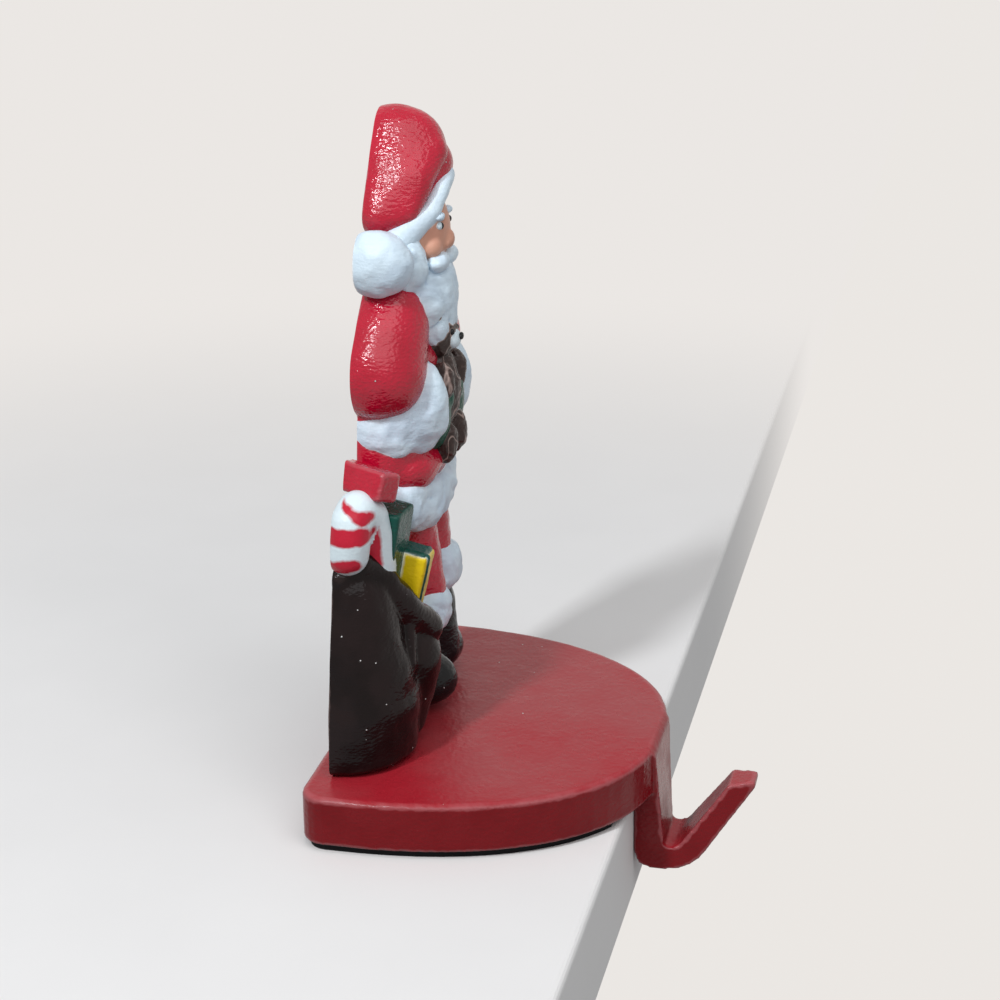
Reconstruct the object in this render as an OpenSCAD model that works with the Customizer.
// Mantel stocking holder: a painted cast relief figure screwed to a heavy
// D-shaped foot, whose front runs down over the shelf edge into a hook.
// X runs along the shelf, the figure looks along -Y, and Z is up.
// The origin is on the shelf, under the figure's flat back, midway across the foot.

/* [Foot] */
// Width of the foot along the shelf
foot_w = 100; // [84:1:120]
// Thickness of the foot casting
foot_t = 11.5; // [9:0.5:15]
// Distance from the figure's flat back to the foot's nose
foot_reach = 68.2; // [60:0.2:80]
// Distance that the foot runs on behind the figure's back
foot_tail = 5; // [3:0.5:10]
// Roundness of the foot's bow, from 2 for an ellipse to 3 for a squarer one
foot_bow = 2.3; // [2:0.1:3]
// Radius of the foot's two back corners
foot_corner_r = 6; // [3:0.5:10]
// Width of the eased edge round the foot's top
foot_edge_r = 1; // [0.4:0.1:2]

/* [Pad] */
// Thickness of the non-slip pad under the foot
pad_t = 1.8; // [1:0.1:3]
// Distance that the pad stays in from the foot's edge
pad_inset = 1.5; // [0.5:0.1:2.5]

/* [Hook] */
// Width of the neck where it leaves the foot
neck_w = 21.2; // [17:0.2:26]
// Width of the neck at its lower end
neck_low_w = 15; // [11:0.2:17]
// Thickness of the neck
neck_t = 5.4; // [4:0.1:8]
// Drop from the shelf to the hook's lowest point
hook_drop = 19; // [16:0.1:25]
// Distance that the arm's tip reaches in front of the foot's nose
hook_reach = 24.2; // [19:0.1:30]
// Rise from the hook's lowest point to the arm's tip
hook_rise = 23.2; // [21:0.1:30]
// Thickness of the arm where it leaves the neck
arm_t = 7; // [5:0.1:8]
// Length of the flat at the arm's tip
tip_t = 7.2; // [5:0.1:9]
// Width of the arm where the flat at its tip begins
tip_w = 9; // [7:0.2:11]
// Width of the arm's very end
tip_end_w = 5.6; // [4:0.1:7]
// Round at the lower corners of the hook
hook_r = 3; // [1.5:0.1:3.5]

/* [Figure] */
// Distance of the figure's centre line from the middle of the foot
figure_x = 8.5; // [6:0.5:11]
// Depth of the relief from its flat back to its proudest point
relief_d = 20; // [18:0.2:24]
// Height of the legs from the foot to the coat's hem
leg_h = 46; // [42:0.5:52]
// Width across both legs
leg_w = 37; // [33:0.5:40]
// Distance of the feet's middle from the figure's centre line
stance_x = 3; // [0:0.5:5]
// Height of the coat from its hem to the shoulders
coat_h = 55; // [50:0.5:60]
// Width across both sleeves
coat_w = 52.2; // [48:0.2:58]
// Height from the shoulders to the top of the hat
head_h = 40.7; // [37:0.1:46]
// Width of the hat
head_w = 28; // [25:0.5:32]
// Width of the pompom
pompom_w = 12.6; // [11:0.2:15]

/* [Toy] */
// Height of the toy bear
bear_h = 36; // [33:0.5:40]
// Width of the toy bear
bear_w = 13; // [11:0.5:16]

/* [Sack] */
// Distance from the middle of the foot to the middle of the sack
sack_x = 24.4; // [22:0.2:26]
// Width of the sack
sack_w = 33.4; // [30:0.2:38]
// Depth of the sack
sack_d = 17; // [15:0.2:20]
// Height of the sack
sack_h = 47; // [44:0.5:52]
// Thickness of the sack's rolled rim
rim_d = 7.6; // [6:0.2:9]
// Thickness of the candy stick
stick_d = 9.6; // [8:0.2:11]
// Width of its red bands
band_w = 3.4; // [2:0.2:5]
// Height of the bands above the stick
band_t = 0.2; // [0.1:0.1:0.5]
// Width of the tall box that stands in the sack
tall_box_w = 8.4; // [7:0.2:11]
// Depth of the tall box
tall_box_d = 9.8; // [9:0.2:12]
// Height of the tall box above the sack
tall_box_h = 22; // [20:0.5:24]
// Width of the parcel in front of the tall box
parcel_w = 11; // [9:0.2:12]
// Depth of the parcel
parcel_d = 8.4; // [7:0.2:11]
// Height of the parcel above the sack
parcel_h = 12.2; // [11:0.2:14]
// Width of the ribboned box at the sack's mouth
small_box_w = 8.2; // [7:0.2:10]
// Depth of the ribboned box
small_box_d = 13.4; // [12:0.2:15]
// Height of the ribboned box above the sack
small_box_h = 1.6; // [0:0.2:3]
// Width of the ribbon round it
ribbon_w = 1.4; // [1:0.1:3]
// Height of the ribbon above the box's faces
ribbon_t = 0.5; // [0.3:0.1:1]

/* [Screws] */
// Diameter of the two screws that hold the figure
screw_d = 4; // [3:0.5:5]
// Diameter of their countersunk heads
screw_head_d = 8; // [7:0.5:10]
// Length of each screw inside the figure
screw_grip = 8; // [6:0.5:12]
// Play round a screw in its hole
screw_play = 0.2; // [0.1:0.05:0.4]
// Width of the slot across a screw's head
slot_w = 1; // [0.6:0.1:1.4]
// Depth of the slot across a screw's head
slot_t = 1.1; // [0.6:0.1:1.4]

/* [Hidden] */

// Length by which a cut runs past the face that it opens
over = 0.5;

deck_z = pad_t + foot_t;
hem_z = deck_z + leg_h;
neck_z = hem_z + coat_h;
corner_y = foot_tail - foot_corner_r;
screw_r = screw_d / 2;
screw_hole_r = screw_r + screw_play;
screw_head_r = screw_head_d / 2;
screw_xs = [-sack_x, figure_x + stance_x + leg_w / 4];
screw_y = relief_d * 0.36;

// Half sizes that the shares in the tables below are taken of
leg_unit = [leg_w / 2, relief_d, leg_h];
coat_unit = [coat_w / 2, relief_d, coat_h];
head_unit = [head_w / 2, relief_d, head_h];
bear_unit = [bear_w / 2, relief_d, bear_h];
sack_unit = [sack_w / 2, sack_d, sack_h];

// Facets round a large form, a small form and a turned part
large_fn = 22;
small_fn = 14;
turned_fn = 48;

crimson = [0.66, 0.05, 0.10];
maroon = [0.48, 0.05, 0.09];
snow = [0.86, 0.91, 0.95];
flesh = [0.87, 0.62, 0.50];
sack_brown = [0.16, 0.10, 0.09];
toy_brown = [0.22, 0.15, 0.12];
pine = [0.04, 0.25, 0.17];
yolk = [0.93, 0.76, 0.10];
soot = [0.07, 0.07, 0.08];
steel = [0.62, 0.63, 0.65];

// Each form below is [[x, y to the front, z], [half width, half depth, half height]],
// all in shares of its sub-part's unit. Paired forms are given once, for the +X side.

// Legs: the two trouser legs from hip to knee, the fur round both boots, one boot's shaft
// and foot, the two toes, and the low ground that closes the relief between the legs and the sack
trouser_shares = [
    [[[-0.36, 0.32, 0.97], [0.38, 0.36, 0.13]], [[-0.38, 0.40, 0.62], [0.34, 0.38, 0.13]]],
    [[[0.36, 0.30, 0.97], [0.38, 0.34, 0.13]], [[0.38, 0.34, 0.70], [0.34, 0.34, 0.13]]]];
boot_fur_shares = [
    [[[-0.40, 0.43, 0.57], [0.42, 0.42, 0.11]], [[-0.42, 0.42, 0.49], [0.44, 0.42, 0.11]]],
    [[[0.40, 0.37, 0.69], [0.42, 0.41, 0.11]], [[0.42, 0.38, 0.60], [0.44, 0.42, 0.11]]]];
boot_shares = [
    [[0.44, 0.33, 0.43], [0.35, 0.36, 0.15]],
    [[0.50, 0.36, 0.14], [0.40, 0.38, 0.14]]];
toe_shares = [
    [[-0.60, 0.56, 0.17], [0.34, 0.40, 0.15]],
    [[0.62, 0.42, 0.14], [0.34, 0.34, 0.13]]];
web_shares = [
    [[-0.86, 0.12, 0.50], [0.42, 0.40, 0.36]],
    [[-0.60, 0.02, 0.10], [0.40, 0.24, 0.20]],
    [[0.60, 0.02, 0.10], [0.30, 0.24, 0.20]],
    [[0, 0.02, 0.80], [0.60, 0.24, 0.20]]];

// Coat: belly and chest, one sleeve, one side of the skirt, one cuff, one mitten
torso_shares = [
    [[0, 0.08, 0.30], [0.85, 0.68, 0.24]],
    [[0, 0.12, 0.69], [0.73, 0.62, 0.27]]];
sleeve_shares = [
    [[0.37, 0.24, 0.90], [0.33, 0.46, 0.19]],
    [[0.59, 0.19, 0.72], [0.41, 0.54, 0.20]]];
skirt_shares = [
    [[0.34, 0.22, 0.28], [0.40, 0.56, 0.13]],
    [[0.20, 0.30, 0.30], [0.30, 0.50, 0.12]]];
cuff_shares = [
    [[0.50, 0.17, 0.46], [0.32, 0.52, 0.16]],
    [[0.40, 0.54, 0.56], [0.25, 0.39, 0.21]]];
mitten_shares = [[0.24, 0.70, 0.50], [0.17, 0.20, 0.16]];

// Fur hem: middles along the coat's lower edge, and one size for all
hem_shares = [
    [-0.76, 0.19, 0.16], [-0.56, 0.45, 0.14], [-0.23, 0.59, 0.11],
    [0.12, 0.61, 0.12], [0.46, 0.51, 0.14], [0.76, 0.22, 0.19]];
hem_size_shares = [0.20, 0.21, 0.12];

// Toy bear: body and head, muzzle, then one ear, one arm and one leg
bear_shares = [
    [[0, 0.66, 0.42], [1.00, 0.27, 0.30]],
    [[0, 0.66, 0.80], [0.89, 0.24, 0.17]]];
muzzle_shares = [[0, 0.86, 0.77], [0.42, 0.09, 0.065]];
ear_shares = [[0.70, 0.70, 0.94], [0.36, 0.10, 0.07]];
paw_shares = [
    [[0.86, 0.80, 0.52], [0.34, 0.14, 0.14]],
    [[0.66, 0.80, 0.12], [0.44, 0.16, 0.15]]];

// Head: beard with its side and lower locks, face, nose, cheek, moustache, brow
beard_shares = [
    [[0, 0.34, 0.02], [0.74, 0.57, 0.25]],
    [[0, 0.40, -0.12], [0.50, 0.51, 0.20]]];
lock_shares = [
    [[0.64, 0.28, 0.19], [0.36, 0.42, 0.20]],
    [[0.46, 0.44, -0.04], [0.34, 0.40, 0.16]],
    [[0.26, 0.60, -0.19], [0.28, 0.26, 0.12]]];
face_shares = [[0, 0.38, 0.34], [0.66, 0.45, 0.27]];
nose_shares = [[0, 0.79, 0.295], [0.135, 0.10, 0.06]];
cheek_shares = [[0.33, 0.67, 0.27], [0.20, 0.13, 0.065]];
moustache_shares = [[0.26, 0.74, 0.18], [0.30, 0.13, 0.055]];
brow_shares = [[0.28, 0.72, 0.455], [0.22, 0.09, 0.028]];

// Hat: crown with its tail laid over to one side, the fold under it, and the brim
crown_shares = [
    [[0.27, 0.18, 0.765], [0.57, 0.57, 0.243]],
    [[-0.58, 0.15, 0.46], [0.41, 0.27, 0.118]]];
fold_shares = [
    [[0.28, 0.20, 0.69], [0.76, 0.65, 0.20]],
    [[0.12, 0.22, 0.54], [0.72, 0.54, 0.12]]];
brim_shares = [
    [-0.60, 0.46, 0.38], [-0.34, 0.66, 0.48], [0, 0.76, 0.60],
    [0.43, 0.69, 0.60], [0.79, 0.40, 0.48]];
brim_size_shares = [0.18, 0.13, 0.065];
pompom_shares = [-1.11, 0.20, 0.23];
pompom_size_shares = [0.50, 0.66, 0.60];

// Sack: base, belly and shoulder, its fuller side, the rolled rim and two creases
sack_shares = [
    [[0, 0.02, 0.05], [0.96, 0.90, 0.09]],
    [[0.02, 0.04, 0.28], [0.98, 0.94, 0.28]],
    [[-0.06, 0.08, 0.84], [0.58, 0.56, 0.20]]];
sack_side_shares = [
    [[0.42, 0.20, 0.10], [0.54, 0.74, 0.12]],
    [[0.58, 0.46, 0.42], [0.58, 0.67, 0.25]],
    [[0.42, 0.31, 0.71], [0.44, 0.42, 0.14]]];
rim_shares = [
    [-0.40, 0.06, 0.95], [-0.16, 0.29, 0.96], [0.14, 0.55, 0.83],
    [0.41, 0.76, 0.675], [0.71, 0.89, 0.57], [0.98, 0.85, 0.53], [1.20, 0.46, 0.60]];
crease_shares = [
    [[[0.86, 0.74, 0.56], [0.08, 0.10, 0.06]], [[0.74, 0.78, 0.24], [0.05, 0.08, 0.06]]],
    [[[0.30, 0.78, 0.70], [0.10, 0.10, 0.05]], [[0.08, 0.86, 0.46], [0.06, 0.07, 0.06]]]];

// Candy stick: middles from inside the sack, over the crook and down its end
stick_shares = [
    [0.11, 0.38, 0.88], [0.11, 0.38, 1.03], [0.09, 0.37, 1.13], [0, 0.32, 1.22],
    [-0.18, 0.25, 1.27], [-0.36, 0.21, 1.235], [-0.42, 0.20, 1.16], [-0.41, 0.17, 1.085]];

// Red bands round it: place across, height, and tilt in degrees
band_shares = [[-0.42, 1.04, 0], [-0.42, 1.20, 0], [-0.20, 1.34, 60], [0.12, 1.10, 0]];

// Places of the three presents' lowest corners on the figure's back
tall_box_shares = [0.12, 0, 1.24];
parcel_shares = [0, 0, 0.60];
small_box_shares = [0.37, 0, 0.63];

// Their turns about X, Y and Z in degrees
tall_box_turn = [0, 10, -15];
parcel_turn = [8, 3, -4];
small_box_turn = [12, 4, 0];

// Points of an arc of radius r about c, from angle a to angle b
function arc(c, r, a, b, steps) =
    [for (i = [0 : steps]) c + r * [cos(a + (b - a) * i / steps), sin(a + (b - a) * i / steps)]];

// Arc that rounds the corner q between p and s
function round_corner(p, q, s, r, steps) =
    let (u = (p - q) / norm(p - q))
    let (v = (s - q) / norm(s - q))
    let (mid = (u + v) / norm(u + v))
    let (half = acos(u * v) / 2)
    let (turn = u[0] * v[1] - u[1] * v[0] > 0 ? 1 : -1)
    let (start = atan2(-mid[1], -mid[0]) + turn * (90 - half))
    arc(q + mid * r / sin(half), r, start, start - turn * (180 - 2 * half), steps);

// Outline whose points are [x, y, radius]
function rounded(points, steps = 6) =
    let (n = len(points))
    [for (i = [0 : n - 1])
        let (p = points[(i + n - 1) % n])
        let (q = points[i])
        let (s = points[(i + 1) % n])
        each q[2] > 0
            ? round_corner([p[0], p[1]], [q[0], q[1]], [s[0], s[1]], q[2], steps)
            : [[q[0], q[1]]]];

// Depth that the bow would have without the flat at its nose, which is as wide as the neck
bow_reach = foot_reach / pow(1 - pow(neck_w / foot_w, foot_bow), 1 / foot_bow);

// Point of the foot's bow at angle a, drawn in by inset
function bow(a, inset) = [
    (foot_w / 2 - inset) * sign(cos(a)) * pow(abs(cos(a)), 2 / foot_bow),
    max(inset - foot_reach, corner_y - (bow_reach + corner_y - inset) * pow(sin(a), 2 / foot_bow))];

// Outline of the foot, drawn in by inset all round
function foot_outline(inset) =
    let (corner_x = foot_w / 2 - foot_corner_r)
    concat(
        arc([-corner_x, corner_y], foot_corner_r - inset, 180, 90, 5),
        arc([corner_x, corner_y], foot_corner_r - inset, 90, 0, 5),
        [for (a = [5 : 5 : 175]) bow(a, inset)]);

// Foot: flat slab with an eased top edge
module foot_slab() {
    translate([0, 0, pad_t])
        linear_extrude(foot_t - foot_edge_r)
            polygon(foot_outline(0));
    hull() {
        translate([0, 0, deck_z - foot_edge_r])
            linear_extrude(foot_edge_r / 3)
                polygon(foot_outline(0));
        translate([0, 0, pad_t])
            linear_extrude(foot_t)
                polygon(foot_outline(foot_edge_r));
    }
}

// Side outlines of the hook are [distance to the front, height, radius]
neck_back = foot_reach - neck_t * 0.85;
neck_front = foot_reach + neck_t * 0.12;
heel = neck_back + neck_t * 0.25;
trough = foot_reach + neck_t;
trough_z = hook_rise * 0.29 - hook_drop;
tip_front = foot_reach + hook_reach;
tip_z = hook_rise - hook_drop;

neck_side = rounded([
    [neck_back, deck_z - foot_t / 2, 0],
    [neck_front, deck_z - foot_edge_r, 0],
    [neck_front + neck_t * 0.16, 0, 0],
    [neck_front + neck_t * 0.34, trough_z, 0],
    [neck_front + neck_t * 0.34, trough_z - hook_r, 0],
    [neck_front, -hook_drop, 0],
    [heel, -hook_drop, hook_r],
    [neck_back, hook_r - hook_drop + neck_t * 0.3, hook_r / 2]]);

arm_side = rounded([
    [neck_front + neck_t * 0.10, trough_z, 0],
    [trough, trough_z - hook_r / 2, hook_r],
    [tip_front - tip_t, tip_z - tip_t / 6, hook_r / 5],
    [tip_front, tip_z, hook_r / 3],
    [trough + arm_t * 0.72, hook_rise * 0.09 - hook_drop, hook_r * 3],
    [trough, -hook_drop, hook_r * 3],
    [neck_front, -hook_drop, 0]]);

// Turns an outline of distance and height into a wall across the hook
module side_wall(outline, width) {
    rotate([90, 0, -90])
        translate([0, 0, -width / 2])
            linear_extrude(width)
                polygon(outline);
}

// Neck: narrows from the foot to the trough
module neck() {
    intersection() {
        side_wall(neck_side, neck_w);
        rotate([90, 0, 0])
            linear_extrude(trough + arm_t)
                polygon([
                    [-neck_w / 2, deck_z], [-neck_low_w / 2, trough_z],
                    [-neck_low_w / 2, -hook_drop - over], [neck_low_w / 2, -hook_drop - over],
                    [neck_low_w / 2, trough_z], [neck_w / 2, deck_z]]);
    }
}

// Arm: narrows from the trough to its tip
module arm() {
    intersection() {
        side_wall(arm_side, neck_low_w);
        translate([0, 0, -hook_drop - over])
            linear_extrude(hook_rise + 2 * over)
                polygon(rounded([
                    [-neck_low_w / 2, -neck_back, 0], [-neck_low_w / 2, -trough, 0],
                    [-tip_w / 2, tip_t - tip_front, hook_r], [-tip_end_w / 2, -tip_front, 0],
                    [tip_end_w / 2, -tip_front, 0], [tip_w / 2, tip_t - tip_front, hook_r],
                    [neck_low_w / 2, -trough, 0], [neck_low_w / 2, -neck_back, 0]]));
    }
}

module at_screws() {
    for (x = screw_xs)
        translate([x, -screw_y, 0]) children();
}

module base_hook() {
    color(maroon)
        difference() {
            union() {
                foot_slab();
                neck();
                arm();
            }
            at_screws() {
                translate([0, 0, pad_t - over])
                    cylinder(h = foot_t + 2 * over, r = screw_hole_r, $fn = turned_fn);
                translate([0, 0, pad_t])
                    cylinder(h = screw_head_r, r1 = screw_head_r + screw_play, r2 = screw_play,
                        $fn = turned_fn);
                translate([0, 0, pad_t - over])
                    cylinder(h = over, r = screw_head_r + screw_play, $fn = turned_fn);
            }
        }
}

// One rounded form, placed and sized in shares of unit
module form(unit, f, facets = small_fn, side = 1) {
    translate([side * f[0][0] * unit[0], -f[0][1] * unit[1], f[0][2] * unit[2]])
        scale([f[1][0] * unit[0], f[1][1] * unit[1], f[1][2] * unit[2]])
            sphere(1, $fn = facets);
}

// Forms joined into one skin
module blend(unit, forms, facets = small_fn, side = 1) {
    hull()
        for (f = forms) form(unit, f, facets, side);
}

// Roll of even size that follows a row of middles
module roll(unit, middles, size) {
    for (i = [0 : len(middles) - 2])
        blend(unit, [[middles[i], size], [middles[i + 1], size]]);
}

module legs() {
    color(crimson)
        for (leg = trouser_shares) blend(leg_unit, leg);
    color(snow)
        for (fur = boot_fur_shares) blend(leg_unit, fur);
    color(soot) {
        for (side = [-1, 1]) blend(leg_unit, boot_shares, small_fn, side);
        for (toe = toe_shares) form(leg_unit, toe);
        blend(leg_unit, web_shares);
    }
}

module coat() {
    color(crimson) blend(coat_unit, torso_shares, large_fn);
    for (side = [-1, 1]) {
        color(crimson) {
            blend(coat_unit, sleeve_shares, large_fn, side);
            blend(coat_unit, skirt_shares, small_fn, side);
        }
        color(snow) blend(coat_unit, cuff_shares, large_fn, side);
        color(pine) form(coat_unit, mitten_shares, small_fn, side);
    }
    color(snow) roll(coat_unit, hem_shares, hem_size_shares);
}

module bear() {
    color(toy_brown) {
        for (f = bear_shares) form(bear_unit, f);
        for (side = [-1, 1]) {
            form(bear_unit, ear_shares, small_fn, side);
            for (f = paw_shares) form(bear_unit, f, small_fn, side);
        }
    }
    color(snow) form(bear_unit, muzzle_shares);
}

module head() {
    color(snow) {
        blend(head_unit, beard_shares, large_fn);
        roll(head_unit, brim_shares, brim_size_shares);
        for (side = [-1, 1]) {
            for (f = lock_shares) form(head_unit, f, small_fn, side);
            form(head_unit, moustache_shares, small_fn, side);
            form(head_unit, brow_shares, small_fn, side);
        }
    }
    color(flesh) {
        form(head_unit, face_shares, large_fn);
        form(head_unit, nose_shares);
        for (side = [-1, 1]) form(head_unit, cheek_shares, small_fn, side);
    }
}

module hat() {
    color(crimson) {
        blend(head_unit, crown_shares, large_fn);
        blend(head_unit, fold_shares, large_fn);
    }
    color(snow)
        translate([pompom_shares[0] * head_unit[0], -pompom_shares[1] * relief_d, pompom_shares[2] * head_h])
            scale(pompom_size_shares * pompom_w)
                sphere(1, $fn = large_fn);
}

// Shares that make a round of diameter d on the sack's unit
function round_shares(d) = [d / sack_w, d / 2 / sack_d, d / 2 / sack_h];

module sack() {
    color(sack_brown) {
        blend(sack_unit, sack_shares, large_fn);
        blend(sack_unit, sack_side_shares, large_fn);
        roll(sack_unit, rim_shares, round_shares(rim_d));
        for (crease = crease_shares) blend(sack_unit, crease);
    }
}

// Candy stick: a white crook with red bands
module candy_stick() {
    color(snow) roll(sack_unit, stick_shares, round_shares(stick_d));
    color(crimson)
        intersection() {
            roll(sack_unit, stick_shares, round_shares(stick_d + 2 * band_t));
            for (band = band_shares)
                translate([band[0] * sack_unit[0], 0, band[1] * sack_h])
                    rotate([0, band[2], 0])
                        cube([stick_d, 2 * sack_d, band_w], center = true);
        }
}

// Box that stands at a place in the sack: x is the distance of its side from that place,
// and top is its height above the sack
module present(shares, turn, x, width, depth, top) {
    translate([shares[0] * sack_unit[0], -shares[1] * sack_d, shares[2] * sack_h])
        rotate(turn)
            translate([x, -depth, 0])
                cube([width, depth + sack_d / 2, top + (1 - shares[2]) * sack_h]);
}

module presents() {
    color(crimson)
        present(tall_box_shares, tall_box_turn, 0, tall_box_w, tall_box_d, tall_box_h);
    color(pine) {
        present(parcel_shares, parcel_turn, 0, parcel_w, parcel_d, parcel_h);
        present(small_box_shares, small_box_turn, ribbon_t,
            small_box_w - 2 * ribbon_t, small_box_d - ribbon_t, small_box_h + ribbon_t);
        present(small_box_shares, small_box_turn, small_box_w * 0.15,
            ribbon_w, small_box_d + ribbon_t, small_box_h + ribbon_t);
    }
    color(yolk)
        present(small_box_shares, small_box_turn, 0, small_box_w, small_box_d, small_box_h);
}

module figure() {
    difference() {
        intersection() {
            union() {
                translate([figure_x + stance_x, 0, deck_z]) legs();
                translate([figure_x, 0, hem_z]) coat();
                translate([figure_x, 0, hem_z + 0.29 * coat_h]) bear();
                translate([figure_x, 0, neck_z]) {
                    head();
                    hat();
                }
                translate([-sack_x, 0, deck_z]) {
                    sack();
                    candy_stick();
                    presents();
                }
            }
            translate([-foot_w, -foot_reach, deck_z])
                cube([2 * foot_w, foot_reach, neck_z + 2 * head_h]);
        }
        color(steel)
            at_screws()
                translate([0, 0, deck_z - over])
                    cylinder(h = screw_grip + 2 * over, r = screw_hole_r, $fn = small_fn);
    }
}

module screws() {
    color(steel)
        at_screws()
            difference() {
                union() {
                    translate([0, 0, pad_t])
                        cylinder(h = foot_t + screw_grip, r = screw_r, $fn = turned_fn);
                    translate([0, 0, pad_t])
                        cylinder(h = screw_head_r - screw_r, r1 = screw_head_r, r2 = screw_r,
                            $fn = turned_fn);
                }
                translate([-screw_head_d, -slot_w / 2, pad_t - over])
                    cube([2 * screw_head_d, slot_w, slot_t + over]);
            }
}

module base_pad() {
    color(soot)
        linear_extrude(pad_t)
            difference() {
                polygon(foot_outline(pad_inset));
                translate([-foot_w, -2 * foot_reach - hook_reach])
                    square([2 * foot_w, foot_reach + hook_reach + neck_t + pad_inset]);
            }
}

base_hook();
figure();
screws();
base_pad();
